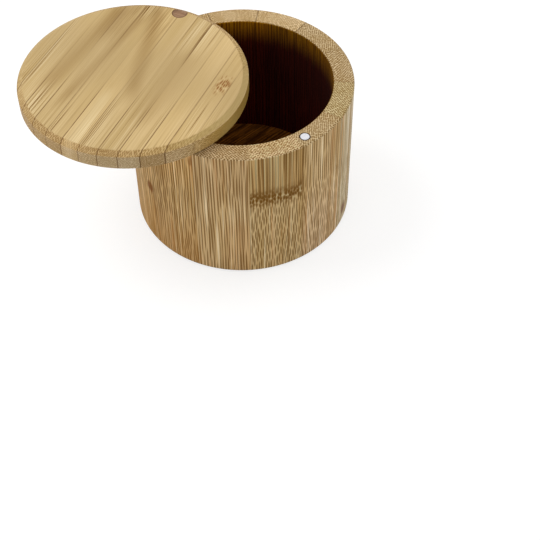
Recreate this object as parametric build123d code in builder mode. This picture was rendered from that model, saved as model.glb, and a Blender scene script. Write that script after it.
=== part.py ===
"""Round bamboo salt box with a lid that swivels about a pin in the rim, in millimetres.

The box stands on Z = 0 with +Z up and its axis on Z. The lid's pivot is in the rim on the +Y side and
the catch magnet is straight across the bore from it, on -Y. The lid is drawn swung open, clockwise
seen from above.

The wall is a ring of mitred staves, glued edge to edge and turned inside and out. The floor and the
lid are discs cut from boards of edge-glued strips.
"""

import os

from build123d import *

# Box wall, a turned ring of staves
box_diameter = 89.0
box_height = 63.2
wall_thickness = 8.2
stave_count = 13
first_seam_angle = -95.0  # degrees from +X, of the seam just beside the catch magnet
foot_round = 1.9
rim_bevel = 0.4

# Floor, a board let into a rabbet in the foot of the wall
floor_thickness = 6.7
floor_lip = 2.6  # how far the floor reaches under the wall, on the radius
floor_clearance = 0.05
floor_grain_angle = 6.0  # degrees from +X
floor_strip_count = 11
floor_board_shift = 1.5  # how far off the middle of its board the floor is cut, across the grain

# Lid, a board turned to a hair less than the box, with a wide soft bevel around its top
lid_inset = 0.25  # from the wall's outside to the lid's edge, when the lid is closed
lid_thickness = 7.3
lid_gap = 0.3  # between the rim and the underside of the lid
lid_top_bevel_width = 2.4  # in from the edge
lid_top_bevel_height = 1.4  # down from the top
lid_inner_round = 1.2  # where the bevel meets the top
lid_outer_round = 0.6  # where the bevel meets the edge
lid_bottom_bevel = 0.4
lid_strip_count = 12
lid_board_shift = 0.4  # how far off the middle of its board the lid is cut, across the grain
lid_open_angle = 61.0  # degrees, 0 when the lid is closed

# Pivot screw, let into the lid and covered by a wooden plug
screw_diameter = 2.9
screw_length = 16.0  # under the head
screw_point_length = 3.2
head_diameter = 5.6
head_height = 1.9
head_bevel = 0.6
recess_span = 3.0
recess_width = 0.8
recess_depth = 1.1
seat_thickness = 2.5  # wood left under the screw's head
swivel_clearance = 0.08  # between the screw and the lid, on the radius
head_clearance = 0.1  # under the screw's head
thread_clearance = 0.03  # between the screw and its pilot hole, on the radius
pilot_spare = 1.0  # pilot hole past the screw's point
plug_diameter = 6.35
plug_clearance = 0.05  # on the radius
plug_head_gap = 0.3  # between the screw's head and the plug

# Catch magnets, one flush in the rim and one flush in the underside of the lid
magnet_diameter = 4.0
magnet_thickness = 3.0
magnet_clearance = 0.2  # on the radius and under the magnet
magnet_edge_break = 0.15

# Places that follow from the sizes above
box_radius = box_diameter / 2
bore_radius = box_radius - wall_thickness
lid_radius = box_radius - lid_inset
floor_radius = bore_radius + floor_lip
stave_angle = 360 / stave_count
pivot_radius = box_radius - wall_thickness / 2  # pivot and magnet stand in the middle of the wall
lid_base = box_height + lid_gap
lid_top = lid_base + lid_thickness
head_base = lid_base + seat_thickness + head_clearance
plug_base = head_base + head_height + plug_head_gap
lid_plane = Plane((0, pivot_radius, lid_base)).rotated((0, 0, -lid_open_angle))
floor_plane = Plane.XY.rotated((0, 0, floor_grain_angle))
board_margin = 1.0  # by which a strip's rough blank is longer and wider than its disc

os.makedirs("parts", exist_ok=True)


def save(part, name):
    """Label a finished piece and write it to a file of its own."""
    part.label = name
    export_step(part, f"parts/{name}.step")


def strip_spans(disc_radius, strip_count, board_shift):
    """Low and high edge, across the grain, of each strip in the board that a disc is cut from."""
    strip_width = 2 * disc_radius / strip_count
    seams = [board_shift + strip_width * step - disc_radius for step in range(1, strip_count)]
    edges = [-disc_radius - board_margin, *seams, disc_radius + board_margin]
    return zip(edges, edges[1:])


# Staves. Each is one mitred sector of the turned ring, with the rabbet for the floor inside its foot.
# The stave at the front takes the catch magnet's pocket, the one at the back the screw's pilot hole.
for number in range(1, stave_count + 1):
    seam_angle = first_seam_angle + stave_angle * (number - 1)
    with BuildPart() as stave:
        with BuildSketch(Plane.XZ.rotated((0, 0, seam_angle))) as wall_section:
            with BuildLine():
                Polyline(
                    (floor_radius, 0),
                    (box_radius, 0),
                    (box_radius, box_height),
                    (bore_radius, box_height),
                    (bore_radius, floor_thickness),
                    (floor_radius, floor_thickness),
                    close=True,
                )
            make_face()
            rim_corners = wall_section.vertices().group_by(Axis.Y)[-1]
            chamfer(rim_corners, length=rim_bevel)
            foot_corner = wall_section.vertices().group_by(Axis.Y)[0].sort_by(Axis.X)[-1]
            fillet(foot_corner, radius=foot_round)
        revolve(axis=Axis.Z, revolution_arc=stave_angle)
        with Locations((0, -pivot_radius, box_height)):
            Hole(magnet_diameter / 2 + magnet_clearance, magnet_thickness + magnet_clearance)
        with Locations((0, pivot_radius, box_height)):
            Hole(
                screw_diameter / 2 + thread_clearance,
                box_height - (head_base - screw_length) + pilot_spare,
            )
    save(stave.part, f"stave_{number:02d}")

# Floor, one disc of strips let in from below until it meets the shoulder of the rabbet
floor_spans = strip_spans(floor_radius, floor_strip_count, floor_board_shift)
for number, (low, high) in enumerate(floor_spans, start=1):
    with BuildPart() as floor_strip:
        with BuildSketch(floor_plane):
            Circle(floor_radius - floor_clearance)
            with Locations((0, (low + high) / 2)):
                Rectangle(2 * (floor_radius + board_margin), high - low, mode=Mode.INTERSECT)
        extrude(amount=floor_thickness)
    save(floor_strip.part, f"floor_strip_{number:02d}")

# Lid before it is parted into strips: the turned disc, then the same disc drilled for the pivot from
# above and for the magnet from below
with BuildPart() as lid_disc:
    with BuildSketch(lid_plane):
        with Locations((0, -pivot_radius)):
            Circle(lid_radius)
    extrude(amount=lid_thickness)
    lid_face = lid_disc.faces().sort_by(Axis.Z)[-1]
    chamfer(lid_face.edges(), length=lid_top_bevel_width, length2=lid_top_bevel_height, reference=lid_face)
    fillet(lid_disc.edges().filter_by(GeomType.CIRCLE).group_by(Axis.Z)[-2], radius=lid_outer_round)
    fillet(lid_disc.edges().group_by(Axis.Z)[-1], radius=lid_inner_round)
    chamfer(lid_disc.edges().group_by(Axis.Z)[0], length=lid_bottom_bevel)

with BuildPart() as drilled_lid:
    add(lid_disc.part)
    with Locations((0, pivot_radius, lid_top)):
        CounterBoreHole(
            radius=screw_diameter / 2 + swivel_clearance,
            counter_bore_radius=plug_diameter / 2,
            counter_bore_depth=lid_thickness - seat_thickness,
        )
    with BuildSketch(lid_plane):
        with Locations((0, -2 * pivot_radius)):
            Circle(magnet_diameter / 2 + magnet_clearance)
    extrude(amount=magnet_thickness + magnet_clearance, mode=Mode.SUBTRACT)

# Lid strips, with their grain on the line from the pivot to the magnet
lid_spans = strip_spans(lid_radius, lid_strip_count, lid_board_shift)
for number, (low, high) in enumerate(lid_spans, start=1):
    with BuildPart() as lid_strip:
        add(drilled_lid.part)
        with BuildSketch(lid_plane):
            with Locations(((low + high) / 2, -pivot_radius)):
                Rectangle(high - low, 2 * (lid_radius + board_margin))
        extrude(amount=lid_thickness, mode=Mode.INTERSECT)
    save(lid_strip.part, f"lid_strip_{number:02d}")

# Pivot screw: a pan head with a cross recess, and a straight shank that ends in a point
with BuildPart() as pivot_screw:
    with BuildSketch(Plane.XZ.offset(-pivot_radius)):
        with BuildLine():
            Polyline(
                (0, head_base + head_height),
                (0, head_base - screw_length),
                (screw_diameter / 2, head_base - screw_length + screw_point_length),
                (screw_diameter / 2, head_base),
                (head_diameter / 2, head_base),
                (head_diameter / 2, head_base + head_height),
                close=True,
            )
        make_face()
    revolve(axis=Axis((0, pivot_radius, 0), (0, 0, 1)))
    chamfer(pivot_screw.edges().group_by(Axis.Z)[-1], length=head_bevel)
    with BuildSketch(Plane((0, pivot_radius, head_base + head_height))):
        Rectangle(recess_span, recess_width)
        Rectangle(recess_width, recess_span)
    extrude(amount=-recess_depth, mode=Mode.SUBTRACT)
save(pivot_screw.part, "pivot_screw")

# Wooden plug over the screw, sanded to the lid's own surface, so it follows the bevel
with BuildPart() as pivot_plug:
    add(lid_disc.part)
    with BuildSketch(Plane((0, pivot_radius, plug_base))):
        Circle(plug_diameter / 2 - plug_clearance)
    extrude(amount=lid_top - plug_base, mode=Mode.INTERSECT)
save(pivot_plug.part, "pivot_plug")

# Catch magnets: plated discs, with a small break on both edges
magnet_places = {
    "rim_magnet": Plane((0, -pivot_radius, box_height - magnet_thickness)),
    "lid_magnet": Plane(lid_plane.from_local_coords((0, -2 * pivot_radius, 0))),
}
for name, place in magnet_places.items():
    with BuildPart() as magnet:
        with BuildSketch(place):
            Circle(magnet_diameter / 2)
        extrude(amount=magnet_thickness)
        chamfer(magnet.edges().filter_by(GeomType.CIRCLE), length=magnet_edge_break)
    save(magnet.part, name)
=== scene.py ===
from math import cos, pi, radians, sin, tan
from random import Random

import bpy
from mathutils import Matrix, Quaternion, Vector


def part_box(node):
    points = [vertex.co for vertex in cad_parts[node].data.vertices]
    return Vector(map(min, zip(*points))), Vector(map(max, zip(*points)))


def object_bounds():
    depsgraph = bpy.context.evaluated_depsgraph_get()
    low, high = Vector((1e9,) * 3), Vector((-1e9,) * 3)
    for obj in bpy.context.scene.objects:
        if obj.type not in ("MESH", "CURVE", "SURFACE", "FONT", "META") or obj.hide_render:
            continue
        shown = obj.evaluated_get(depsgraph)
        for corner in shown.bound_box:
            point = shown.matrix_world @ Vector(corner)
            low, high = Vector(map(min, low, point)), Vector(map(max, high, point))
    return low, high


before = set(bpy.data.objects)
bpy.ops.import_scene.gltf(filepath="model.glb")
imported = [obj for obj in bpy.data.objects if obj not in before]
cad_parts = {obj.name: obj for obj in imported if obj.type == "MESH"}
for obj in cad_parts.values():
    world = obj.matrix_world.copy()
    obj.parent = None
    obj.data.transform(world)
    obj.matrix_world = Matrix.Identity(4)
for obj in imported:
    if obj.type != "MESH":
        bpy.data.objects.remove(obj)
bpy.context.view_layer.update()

# Wall. Thirteen mitred staves of bamboo, glued edge to edge into a ring and turned inside and out.
# Each is sawn from another length of cane, so its tone and its fibres are its own, and a few cross a
# node of the cane. The bore is never sanded as fine as the outside, and is painted dark: partly darker
# wood, partly painted shade that deepens down from the rim. A few staves are painted lighter or darker
# in parts on their outer face, as painted light.
MM = 0.001
UP = Vector((0, 0, 1))
FIRST_SEAM = radians(-95)
WALL_THICKNESS = 8.2


class Field:
    """What one output of a shader node gives over a piece. Arithmetic on fields adds Math nodes."""

    def __init__(self, tree, socket=None):
        self.tree = tree
        self.socket = socket

    def node(self, kind, settings, inputs, output=0):
        """A new node in the same material: its settings are made first, then its inputs."""
        made = self.tree.nodes.new("ShaderNode" + kind)
        for name, setting in settings.items():
            setattr(made, name, setting)
        for name, given in inputs.items():
            if isinstance(given, Field):
                self.tree.links.new(given.socket, made.inputs[name])
            else:
                made.inputs[name].default_value = given
        return Field(self.tree, made.outputs[output])

    def also(self, output):
        """Another output of the node that this field comes from."""
        return Field(self.tree, self.socket.node.outputs[output])

    def math(self, operation, *operands):
        return self.node("Math", {"operation": operation}, dict(enumerate(operands)))

    def __add__(self, other):
        return self.math("ADD", self, other)

    def __sub__(self, other):
        return self.math("SUBTRACT", self, other)

    def __rsub__(self, other):
        return self.math("SUBTRACT", other, self)

    def __mul__(self, other):
        return self.math("MULTIPLY", self, other)

    def __truediv__(self, other):
        return self.math("DIVIDE", self, other)

    __radd__ = __add__
    __rmul__ = __mul__

    def size(self):
        return self.math("ABSOLUTE", self)

    def rise(self, low, high):
        """0 up to low, 1 from high on, smooth between them. It falls where low is above high."""
        if low > high:
            return 1 - self.rise(high, low)
        limits = {"Value": self, "From Min": low, "From Max": high}
        return self.node("MapRange", {"interpolation_type": "SMOOTHSTEP"}, limits)

    def near(self, place, reach):
        """1 at place, falling to 0 at reach away from it on either side."""
        return (self - place).size().rise(reach, 0)

    def over(self, ground, paint, blend="MIX"):
        """The ground colour, with paint laid over it where this field is 1."""
        settings = {"data_type": "RGBA", "blend_type": blend}
        return self.node("Mix", settings, {0: self, 6: ground, 7: paint}, 2)


def colour(code, light=1.0, warm=0.0):
    """The shader's linear colour for one written as it looks, such as c8a66e, lighter or warmer by a share."""
    shares = [int(code[at : at + 2], 16) / 255 for at in (0, 2, 4)]
    red, green, blue = (
        share / 12.92 if share <= 0.04045 else ((share + 0.055) / 1.055) ** 2.4 for share in shares
    )
    return (red * light * (1 + warm), green * light, blue * light * (1 - 2 * warm), 1)


class Plank:
    """A strip of bamboo, painted in its own millimetres: across it, through its depth, along its grain."""

    def __init__(self, name, origin, depth_axis, grain_axis, seed):
        self.random = Random(seed)
        self.material = bpy.data.materials.new("bamboo_" + name)
        self.material.use_nodes = True
        self.shader = self.material.node_tree.nodes["Principled BSDF"]
        self.start = Field(self.material.node_tree)
        turn = Matrix((depth_axis.cross(grain_axis), depth_axis, grain_axis)).transposed().to_euler()
        self.object_place = self.start.node("TexCoord", {}, {}, "Object")
        strip_space = {"Vector": self.object_place, "Location": origin, "Rotation": turn, "Scale": (MM, MM, MM)}
        self.place = self.start.node("Mapping", {"vector_type": "TEXTURE"}, strip_space)
        self.across = self.place.node("SeparateXYZ", {}, {"Vector": self.place})
        self.depth = self.across.also("Y")
        self.along = self.across.also("Z")
        facing = {0: self.object_place.also("Normal"), 1: grain_axis}
        self.end_grain = self.start.node("VectorMath", {"operation": "DOT_PRODUCT"}, facing, "Value")
        self.end_grain = self.end_grain.size().rise(0.12, 0.5)

    def shift(self):
        """A stretch of noise of its own."""
        return [self.random.uniform(-50, 50) for _ in range(3)]

    def vector(self, across, depth, along):
        return self.start.node("CombineXYZ", {}, {0: across, 1: depth, 2: along})

    def noise(self, across, depth, along, detail=2.0):
        """Smooth noise about 0, mostly within 0.25, with so many waves to the millimetre each way."""
        scaled = {"Vector": self.place, "Scale": (across, depth, along), "Location": self.shift()}
        place = self.start.node("Mapping", {}, scaled)
        return self.start.node("TexNoise", {}, {"Vector": place, "Scale": 1.0, "Detail": detail}) - 0.5

    def cells(self, first, second, spread):
        """Distance from the middle of the nearest cell of a loose lattice."""
        moved = (first + self.random.randint(0, 90), second + self.random.randint(0, 90))
        lattice = {"Vector": self.vector(*moved, 0.0), "Scale": 1.0, "Randomness": spread}
        return self.start.node("TexVoronoi", {"voronoi_dimensions": "2D"}, lattice)

    def bamboo(self, pitch, spread, lean, streak, dot, ground, deep, vein, light):
        """Ground with the fibre bundles, dots on the end grain and streaks along it, and light and dark lines."""
        across = self.across + 1.6 * self.noise(0.06, 0.06, 0.02, 1.0)
        depth = self.depth + 2.2 * self.noise(0.10, 0.10, 0.03, 1.0) + lean
        rows = self.cells((across + depth) / pitch, (across - depth) / pitch, spread)
        self.bundle = (self.end_grain * (dot - streak) + streak) * rows.rise(0.50, 0.24)
        self.line = 3.0 * self.noise(1.6, 1.6, 0.018, 2.0)
        self.colour = self.noise(0.12, 0.12, 0.012).rise(-0.2, 0.2).over(ground, deep)
        self.lay(0.8 * self.bundle, vein)
        self.lay(0.7 * dot * self.end_grain * rows.rise(0.45, 0.68), light)
        self.lay(streak * self.line.rise(0.1, 0.7) * (0.65 - 0.35 * self.end_grain), vein)
        self.lay(streak * self.line.rise(-0.2, -0.7) * (0.9 - 0.5 * self.end_grain), light)

    def lay(self, mask, paint, blend="MIX"):
        """Paint laid over the wood where the mask is 1."""
        self.colour = mask.over(self.colour, paint, blend)

    def node_of_cane(self, along, dark, light):
        """The scar of a node across the strip: a dark band with rows of dark pips and light flecks in it."""
        off = self.along - along + 2.5 * self.noise(0.25, 0.1, 0.0) + 3.0 * self.noise(0.9, 0.2, 0.0)
        self.lay(0.5 * off.rise(-4.0, 0.5) * off.rise(7.0, 1.5), dark)
        pips = self.cells(self.across / 1.2, off / 2.2, 0.95)
        self.lay(off.near(0.0, 7.0) * pips.rise(0.5, 0.3), dark)
        self.lay(0.7 * off.near(-0.5, 4.5) * pips.rise(0.6, 0.75), light)

    def spot(self, across, along, reach, length):
        """A soft round mark, so far across the strip and along it, broken up along the fibres."""
        far = self.vector((self.across - across) / reach, (self.along - along) / length, 0.0)
        far = self.start.node("VectorMath", {"operation": "LENGTH"}, {0: far}, "Value")
        return (far + self.noise(0.8, 0.2, 0.12)).rise(1.0, 0.3)

    def finish(self, nodes, roughness, relief):
        """Gives the wood to its pieces, with roughness and relief that follow the fibres."""
        height = {"Strength": 0.5, "Distance": relief * MM, "Height": -0.4 * self.line - 0.6 * self.bundle}
        links = self.material.node_tree.links
        links.new(self.colour.socket, self.shader.inputs["Base Color"])
        links.new(self.start.node("Bump", {}, height).socket, self.shader.inputs["Normal"])
        links.new((roughness + 0.15 * self.bundle).socket, self.shader.inputs["Roughness"])
        self.shader.inputs["Specular IOR Level"].default_value = 0.1
        for node in nodes:
            node.data.materials.clear()
            node.data.materials.append(self.material)


def join_line(distance):
    """The thin dark line of glue at the edge of a strip, from the distance to that edge."""
    return distance.rise(0.28, 0.08)


# Lightness and warmth of each stave, from the one with the rim's magnet round the ring, the lightness of
# its end grain and how dark the join is at its clockwise side. The lightness is raised partly as painted
# light on the wall's sides, and staves 1 and 2 are painted lighter and cooler as painted light and sheen
# on the wall's right side
STAVES = [
    (1.40, -0.03, 0.76, 0.1),
    (1.62, -0.17, 0.62, 0.3),
    (1.25, 0.01, 0.84, 0.3),
    (1.25, 0.01, 0.87, 0.3),
    (1.35, 0.02, 0.92, 0.8),
    (1.32, 0.02, 0.92, 0.8),
    (1.25, 0.00, 0.95, 0.8),
    (1.20, 0.03, 0.90, 0.4),
    (1.20, 0.00, 0.90, 0.5),
    (1.44, 0.02, 0.85, 0.4),
    (1.25, 0.03, 0.81, 0.3),
    (1.42, -0.02, 0.80, 0.2),
    (1.28, 0.01, 1.15, 0.1),
]
# Height under which a stave's fibres lean out, so that its streaks break up, and how much they lean
STAVE_LEANS = {1: (42, 0.09), 2: (34, 0.06), 11: (44, 0.05), 13: (38, 0.11)}
# Staves whose bore is painted lighter, a painted pool of light, from how far across them
LIT_BORE = {5: -8, 6: 12}

stave_names = sorted(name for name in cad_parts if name.startswith("stave_"))
stave_turn = 2 * pi / len(stave_names)
rim_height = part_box("stave_01")[1].z / MM
bore_radius = -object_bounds()[0].y / MM - WALL_THICKNESS
for number, name in enumerate(stave_names, start=1):
    middle = FIRST_SEAM + stave_turn * (number - 0.5)
    outward = Vector((cos(middle), sin(middle), 0))
    stave = Plank(name, (0, 0, 0), outward, UP, number)
    lightness, warmth, end_lightness, join = STAVES[number - 1]
    lean_height, lean = STAVE_LEANS.get(number, (rim_height, 0.02))
    leaning = lean * stave.start.math("MAXIMUM", lean_height - stave.along, 0.0)
    paints = [colour(code, lightness, warmth) for code in ("c1a375", "b08f5c", "68481a", "ddc69c")]
    pitch, spread, dots = (1.2, 0.4, 0.85) if number in (5, 6) else (1.15, 0.3, 1.05)
    stave.bamboo(pitch, spread, leaning, 1.0, dots, *paints)
    brown = 0.4 * stave.noise(0.7, 0.7, 0.02).rise(0.05, 0.2)
    stave.lay(brown * (1 - 0.8 * stave.end_grain), colour("a9743c", lightness))
    stave.lay(stave.end_grain, colour("eaeff8", 1.25 * end_lightness, -warmth), "MULTIPLY")
    other_join = STAVES[number % len(STAVES)][3]
    strength = stave.across.rise(-0.1, 0.1) * (join - other_join) + other_join
    to_seam = (tan(stave_turn / 2) * stave.depth - stave.across.size()) * cos(stave_turn / 2)
    stave.lay(strength * join_line(to_seam), colour("5e4526"))
    if number == 12:
        stave.lay(stave.along.rise(34, 48), colour("f1ede9"), "MULTIPLY")
        stave.lay(stave.along.rise(34, 24) * stave.across.rise(1, -3), colour("f6eee5"), "MULTIPLY")
    if number == 13:
        upper = stave.along.rise(34, 46)
        # Painted light: the stave is lighter and cooler below, standing in for light thrown up from the table, and
        # darker above.
        stave.lay(upper, colour("ece4d0"), "MULTIPLY")
        stave.lay(1 - upper, colour("f7fcff", 1.07), "MULTIPLY")
        stave.lay(stave.end_grain, colour("e5eaff", 1.27), "MULTIPLY")
        broad = stave.noise(1.1, 1.1, 0.01)
        stave.lay(0.5 * upper * broad.rise(0.03, 0.13), colour("7a5a28"))
        stave.lay(0.5 * upper * broad.rise(-0.03, -0.13), colour("d5c796"))
        stave.node_of_cane(41.2, colour("754e14"), colour("e2cb98"))
    if number == 10:
        stave.lay(0.9 * stave.spot(-8.4, 31.3, 2.8, 3.6), colour("84501f"))
    if number in (10, 11):
        stave.lay(0.3 * stave.along.rise(34, 4), colour("b67f40"))
    if number == 11:
        stave.lay(0.6 * stave.spot(-10.0, 59.0, 1.8, 3.0), colour("7d4f22"))
        # Painted light: the stave is lighter toward the rim, where the lid's shade falls.
        stave.lay(stave.along.rise(38, 54), colour("ffffff", 1.2), "MULTIPLY")
    if number == 1:
        # Painted light: the stave is lighter toward its foot, standing in for light thrown up from the table.
        stave.lay(stave.along.rise(44, 18), colour("eeeffb", 1.22), "MULTIPLY")
    if number == 2:
        # Painted sheen: the stave is paler and cooler toward the rim.
        stave.lay(stave.along.rise(28, 44), colour("f8faff", 1.15), "MULTIPLY")
        stave.lay(0.85 * stave.spot(4.5, 8.0, 3.0, 4.5), colour("7f5a46"))
    radius = stave.start.math("SQRT", stave.across * stave.across + stave.depth * stave.depth)
    bore = radius.rise(bore_radius + 0.45, bore_radius + 0.1)
    # Painted shade in the bore: multiplied darker from the rim down, and darker and redder lowest down, over a darker
    # tone of its own wood.
    bore_tone_and_shade = (stave.along + 3.0 * stave.line).rise(rim_height, rim_height - 12).over(colour("a0800c"), colour("461505"))
    bore_tone_and_shade = stave.along.rise(42, 16).over(bore_tone_and_shade, colour("642208"))
    stave.lay(bore, bore_tone_and_shade, "MULTIPLY")
    if number in LIT_BORE:
        # Painted light: part of this stave's bore is multiplied lighter.
        lit = bore * stave.across.rise(LIT_BORE[number] + 8, LIT_BORE[number])
        stave.lay(lit, colour("fffdf0", 1.75), "MULTIPLY")
    # Painted shadow: a thin dark line along the foot's lowest edge, where it meets the table.
    stave.lay(0.45 * (1 - stave.end_grain) * stave.along.rise(1.5, 0.8), colour("6a5238"))
    stave.finish([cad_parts[name]], 0.6 + 0.4 * bore, 0.1)

# Floor. A disc of edge-glued strips, let into a rabbet in the foot of the wall from below. Its upper
# side is painted darker, more orange and blotchy like the bore, partly darker wood and partly painted
# shade; its underside is plain sanded bamboo.
FLOOR_GRAIN = radians(6)
floor_grain = Vector((cos(FLOOR_GRAIN), sin(FLOOR_GRAIN), 0))
floor_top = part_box("floor_strip_01")[1].z / MM


def strip_edges(node, origin, across_axis):
    """The strip's two edges, in millimetres across the grain."""
    places = [(vertex.co - origin).dot(across_axis) / MM for vertex in node.data.vertices]
    return min(places), max(places)


for name in sorted(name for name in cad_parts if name.startswith("floor_strip_")):
    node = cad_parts[name]
    strip = Plank(name, (0, 0, 0), UP, floor_grain, name)
    light = strip.random.uniform(0.9, 1.1)
    paints = [colour(code, light) for code in ("c3a271", "b38e58", "6b4a1c", "dfc598")]
    strip.bamboo(1.4, 0.4, 0.04 * strip.along, 0.9, 0.9, *paints)
    low, high = strip_edges(node, Vector(), UP.cross(floor_grain))
    to_edge = (high - low) / 2 - (strip.across - (low + high) / 2).size()
    strip.lay(0.6 * join_line(to_edge), colour("5e4526"))
    # Painted shade on the upper side, over a darker tone of its own wood.
    upper = strip.depth.rise(floor_top - 0.4, floor_top - 0.1)
    strip.lay(upper, colour("e6aa5a"), "MULTIPLY")
    strip.lay(0.8 * upper * strip.noise(0.4, 0.4, 0.1).rise(-0.1, 0.15), colour("8c7a5a"), "MULTIPLY")
    strip.finish([node], 0.6 + 0.3 * upper, 0.1)

# Lid. A disc turned from a board of edge-glued strips, with its top edge rounded over and sanded
# smooth. The grain runs from the catch magnet to the pivot. One strip crosses a node of the cane.
lid_nodes = {name: node for name, node in sorted(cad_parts.items()) if name.startswith("lid_strip_")}
pivot = sum(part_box("pivot_screw"), Vector()) / 2
catch = sum(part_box("lid_magnet"), Vector()) / 2
lid_grain = (pivot - catch) * Vector((1, 1, 0))
lid_grain.normalize()
lid_centre = (pivot + catch) / 2
lid_centre.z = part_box("lid_strip_01")[0].z
# How dark each join of the board is at the magnet's end, in the middle and at the pivot's end
LID_JOINS = [
    (0.0, 0.0, 0.0),
    (0.8, 0.5, 0.2),
    (0.8, 0.25, 0.2),
    (0.8, 0.1, 0.5),
    (0.6, 0.2, 0.6),
    (0.9, 0.15, 0.1),
    (0.6, 0.1, 0.5),
    (0.8, 0.1, 0.2),
    (0.8, 0.1, 0.8),
    (0.9, 0.4, 0.3),
    (0.8, 0.6, 0.5),
    (0.25, 0.5, 0.3),
    (0.0, 0.0, 0.0),
]
# Lightness of each strip, and lightness and warmth of its end grain, which is partly a painted sheen
LID_TONES = [
    (1.00, 1.00, 0.00),
    (1.00, 1.05, 0.04),
    (1.00, 1.00, 0.04),
    (0.98, 1.02, 0.04),
    (1.00, 1.00, 0.03),
    (1.08, 1.10, 0.00),
    (1.00, 1.16, -0.04),
    (0.98, 1.16, -0.06),
    (1.05, 1.08, -0.07),
    (1.11, 0.76, 0.04),
    (1.10, 0.94, 0.00),
    (1.05, 1.08, 0.00),
]
# Soft dark bands over the board: where each crosses the lid's middle, its slope off the grain, half its
# width, its two ends and its strength
DARK_BANDS = [
    (25.6, -0.08, 6.0, -26, 40, 0.8),
    (15.4, -0.09, 3.6, -32, 38, 0.8),
    (19.5, 0.0, 9.0, 8, 44, 0.6),
    (-1.9, 0.27, 5.5, -18, 46, 0.95),
    (-15.0, 0.0, 8.0, -30, 24, 0.5),
]
# Where fine dark and light lines crowd: middle across and along the board, half width and half length
LINED = [
    (-1.0, -34.0, 9.0, 24.0),
    (-13.0, 32.0, 9.0, 24.0),
    (35.5, 0.0, 6.0, 34.0),
    (-32.5, -8.0, 5.0, 28.0),
    (14.0, -38.0, 6.0, 18.0),
    (27.0, -30.0, 7.0, 20.0),
    (13.0, 40.0, 6.0, 14.0),
]
for number, (name, node) in enumerate(lid_nodes.items()):
    strip = Plank(name, lid_centre, UP, lid_grain, name)
    light, end_light, end_warmth = LID_TONES[number]
    paints = [colour(code, light) for code in ("ceb27f", "c3a670", "7a5624", "e9d4a8")]
    strip.bamboo(0.8, 0.4, 0.02 * strip.along, 0.1, 0.8, *paints)
    lined = 0.5 * strip.noise(0.12, 0.12, 0.02).rise(-0.1, 0.15) * (1 - 0.6 * strip.along.near(6.0, 34.0))
    for across, along, reach, length in LINED:
        lined = lined + strip.across.near(across, reach) * strip.along.near(along, length)
    lined = lined * (1 - strip.end_grain)
    lines = 3.0 * strip.noise(2.6, 2.6, 0.016, 1.0)
    strip.lay(0.9 * lined * lines.rise(0.2, 0.45), paints[2])
    strip.lay(0.55 * lined * lines.rise(-0.15, -0.45), paints[3])
    for start, slope, reach, near_end, far_end, strength in DARK_BANDS:
        inside = strip.along.rise(near_end, near_end + 14) * strip.along.rise(far_end, far_end - 10)
        band = (strip.across - slope * strip.along).near(start, reach)
        strip.lay(strength * inside * band, colour("d9cfbf"), "MULTIPLY")
    strip.lay(0.4 * strip.along.near(5.0, 30.0), colour("b09669"))
    if number == 5:
        strip.lay(0.5 * strip.along.rise(-8, -18) * strip.across.near(3.5, 3.6), colour("dcc596"))
    if number == 10:
        scar = strip.spot(-34.3, 7.5, 4.2, 7.0)
        strip.lay(0.25 * scar, colour("a9793f"))
        dashes = strip.cells(strip.across / 0.8, strip.along / 3.0, 0.9)
        strip.lay(scar * dashes.rise(0.45, 0.2), colour("8f5f30"))
        strip.lay(0.4 * scar * dashes.rise(0.5, 0.8), paints[3])
    low, high = strip_edges(node, lid_centre, UP.cross(lid_grain))
    for edge, (first, middle, last) in ((high, LID_JOINS[number]), (low, LID_JOINS[number + 1])):
        strength = strip.along.rise(-4, -22) * (first - middle) + strip.along.rise(4, 22) * (last - middle) + middle
        uneven = strip.noise(0.0, 0.0, 0.15, 1.0).rise(-0.4, 0.0)
        strength = strength * strip.end_grain.math("MAXIMUM", strip.end_grain, uneven)
        strip.lay(strength * join_line((strip.across - edge).size()), colour("6d4c26"))
    facing_up = strip.start.node("VectorMath", {"operation": "DOT_PRODUCT"}, {0: strip.object_place.also("Normal"), 1: UP}, "Value")
    strip.lay(strip.end_grain * facing_up.rise(0.3, 0.8), colour("efe6da"), "MULTIPLY")
    # The end grain's vertical face is painted lighter and greyer: partly its own tone, partly a painted sheen of the
    # white surroundings.
    strip.lay(strip.end_grain * facing_up.rise(0.8, 0.3), colour("f4f1f6", end_light, end_warmth), "MULTIPLY")
    side = {0: strip.object_place.also("Normal"), 1: UP.cross(lid_grain)}
    side = strip.start.node("VectorMath", {"operation": "DOT_PRODUCT"}, side, "Value")
    # Painted shade: the rounded-over top edge is darker on one side of the board.
    bevel_shade = side.rise(-0.2, -0.45) * facing_up.near(0.86, 0.1)
    strip.lay(bevel_shade, colour("ebeadb"), "MULTIPLY")
    # The long-grain edge on that side is painted darker and yellower: partly the outer strip's yellower wood, partly
    # painted shade for the dark bore beneath it.
    strip.lay(side.rise(-0.75, -0.97), colour("eee6b9"), "MULTIPLY")
    strip.lay(side.rise(-0.75, -0.97) * strip.along.rise(-6, 4), colour("ebe5d0"), "MULTIPLY")
    strip.finish([node], 0.5, 0.06)

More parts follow.
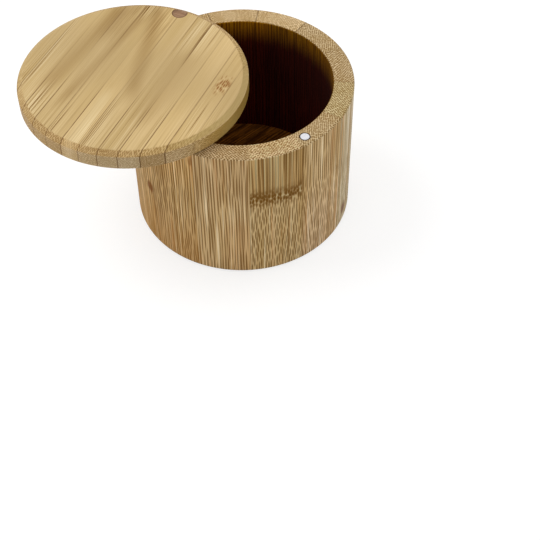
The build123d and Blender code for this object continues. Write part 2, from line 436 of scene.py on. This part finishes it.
# Pivot screw. A zinc-plated pan-head wood screw, hidden under the plug.
steel = bpy.data.materials.new("zinc_plate")
steel.use_nodes = True
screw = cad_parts["pivot_screw"]
grain = Field(steel.node_tree)
brushed = grain.node("Mapping", {}, {"Vector": grain.node("TexCoord", {}, {}, "Object"), "Scale": (900, 900, 6000)})
brushed = brushed.node("TexNoise", {}, {"Vector": brushed, "Scale": 1.0, "Detail": 3.0})
steel_shader = steel.node_tree.nodes["Principled BSDF"]
steel.node_tree.links.new(brushed.over(colour("9a9a98"), colour("c4c4c0")).socket, steel_shader.inputs["Base Color"])
steel.node_tree.links.new((0.25 + 0.2 * brushed).socket, steel_shader.inputs["Roughness"])
steel_shader.inputs["Metallic"].default_value = 1.0
screw.data.materials.clear()
screw.data.materials.append(steel)

# Plug. A mauve-brown hardwood plug over the screw, glued in and sanded down to the lid's surface.
plug = Plank("pivot_plug", pivot, UP, lid_grain.cross(UP), "plug")
plug_paints = [colour(code) for code in ("a07e60", "94735a", "6b4b36", "b39478")]
plug.bamboo(0.8, 0.4, 0.05 * plug.along, 0.5, 0.8, *plug_paints)
off_axis = plug.start.math("SQRT", plug.across * plug.across + plug.along * plug.along)
plug.lay(0.7 * off_axis.rise(2.5, 3.1), colour("5b3d28"))
plug.lay(0.5 * (plug.along - plug.across).rise(0.0, -3.5), colour("5a3f2e"))
plug.finish([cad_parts["pivot_plug"]], 0.55, 0.05)

# Catch magnets. Nickel-plated discs, one flush in the rim and one flush in the lid's underside. Each
# disc's face turns dark grey in a thin ring at its edge.
for name in ("rim_magnet", "lid_magnet"):
    nickel = bpy.data.materials.new("nickel_" + name)
    nickel.use_nodes = True
    plating = Field(nickel.node_tree)
    disc_space = {"Vector": plating.node("TexCoord", {}, {}, "Object"), "Location": sum(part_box(name), Vector()) / 2}
    disc_place = plating.node("Mapping", {"vector_type": "TEXTURE"}, {**disc_space, "Scale": (MM, MM, MM)})
    haze = plating.node("TexNoise", {}, {"Vector": disc_place, "Scale": 1.5, "Detail": 3.0})
    flat = plating.node("Mapping", {}, {"Vector": disc_place, "Scale": (1, 1, 0)})
    off_axis = plating.node("VectorMath", {"operation": "LENGTH"}, {0: flat}, "Value")
    plated = haze.over(colour("d2d2d8"), colour("ececf0"))
    plated = off_axis.rise(1.6, 1.82).over(plated, colour("584f4c"))
    shader = nickel.node_tree.nodes["Principled BSDF"]
    nickel.node_tree.links.new(plated.socket, shader.inputs["Base Color"])
    nickel.node_tree.links.new((0.3 + 0.2 * haze).socket, shader.inputs["Roughness"])
    shader.inputs["Metallic"].default_value = 1.0
    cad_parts[name].data.materials.clear()
    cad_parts[name].data.materials.append(nickel)

# Table and light. A white table under a white sky, with one large soft lamp above and to the left.
bpy.ops.mesh.primitive_plane_add(size=6.0)
table = bpy.context.object
table.name = "table"
white = bpy.data.materials.new("white_table")
white.use_nodes = True
field = Field(white.node_tree)
shaded = field.node("BsdfDiffuse", {}, {"Color": (0.8, 0.8, 0.8, 1)})
seen = field.node("BsdfDiffuse", {}, {"Color": (0.35, 0.35, 0.35, 1)})
glow = field.node("Emission", {}, {"Color": (0.72, 0.72, 0.72, 1), "Strength": 1.0})
bright = field.node("AddShader", {}, {0: seen, 1: glow})
camera_ray = field.node("LightPath", {}, {}, "Is Camera Ray")
top = field.node("MixShader", {}, {0: camera_ray, 1: shaded, 2: bright})
white.node_tree.links.new(top.socket, white.node_tree.nodes["Material Output"].inputs["Surface"])
table.data.materials.append(white)

world = bpy.data.worlds.new("white_sky")
world.use_nodes = True
bpy.context.scene.world = world
sky = Field(world.node_tree)
plain = sky.node("Background", {}, {"Color": (1, 1, 1, 1), "Strength": 0.70})
seen = sky.node("Background", {}, {"Color": (1, 1, 1, 1), "Strength": 1.0})
path = sky.node("LightPath", {}, {}, "Is Camera Ray")
mirrored = path.math("MAXIMUM", path.also("Is Glossy Ray"), path.also("Is Transmission Ray"))
either = mirrored.math("MAXIMUM", mirrored, path)
mixed = sky.node("MixShader", {}, {0: either, 1: plain, 2: seen})
world.node_tree.links.new(mixed.socket, world.node_tree.nodes["World Output"].inputs["Surface"])

LAMPS = [("lamp_above", (-0.36, 0.38, 0.82), 0.5, 3.4), ("lamp_right", (0.75, -0.1, 0.35), 0.5, 0.8)]
for name, place, size, energy in LAMPS:
    lamp_data = bpy.data.lights.new(name, "AREA")
    lamp_data.shape = "DISK"
    lamp_data.size = size
    lamp_data.energy = energy
    lamp = bpy.data.objects.new(name, lamp_data)
    lamp.location = place
    lamp.rotation_mode = "QUATERNION"
    lamp.rotation_quaternion = (-lamp.location).to_track_quat("-Z", "Y")
    bpy.context.scene.collection.objects.link(lamp)

# Camera, where the photograph was taken from.
CAMERA_PLACE = Vector((-0.2087, -0.2939, 0.3728))
CAMERA_AIM = Vector((-0.0175, -0.0413, 0.0))
CAMERA_ROLL = radians(-0.5)
camera_data = bpy.data.cameras.new("camera")
camera_data.lens = 80.4
camera_data.sensor_width = 36.0
camera = bpy.data.objects.new("camera", camera_data)
camera.location = CAMERA_PLACE
camera.rotation_mode = "QUATERNION"
camera.rotation_quaternion = (CAMERA_AIM - CAMERA_PLACE).to_track_quat("-Z", "Y") @ Quaternion((0, 0, 1), CAMERA_ROLL)
bpy.context.scene.collection.objects.link(camera)
bpy.context.scene.camera = camera
bpy.context.scene.view_settings.view_transform = "Standard"
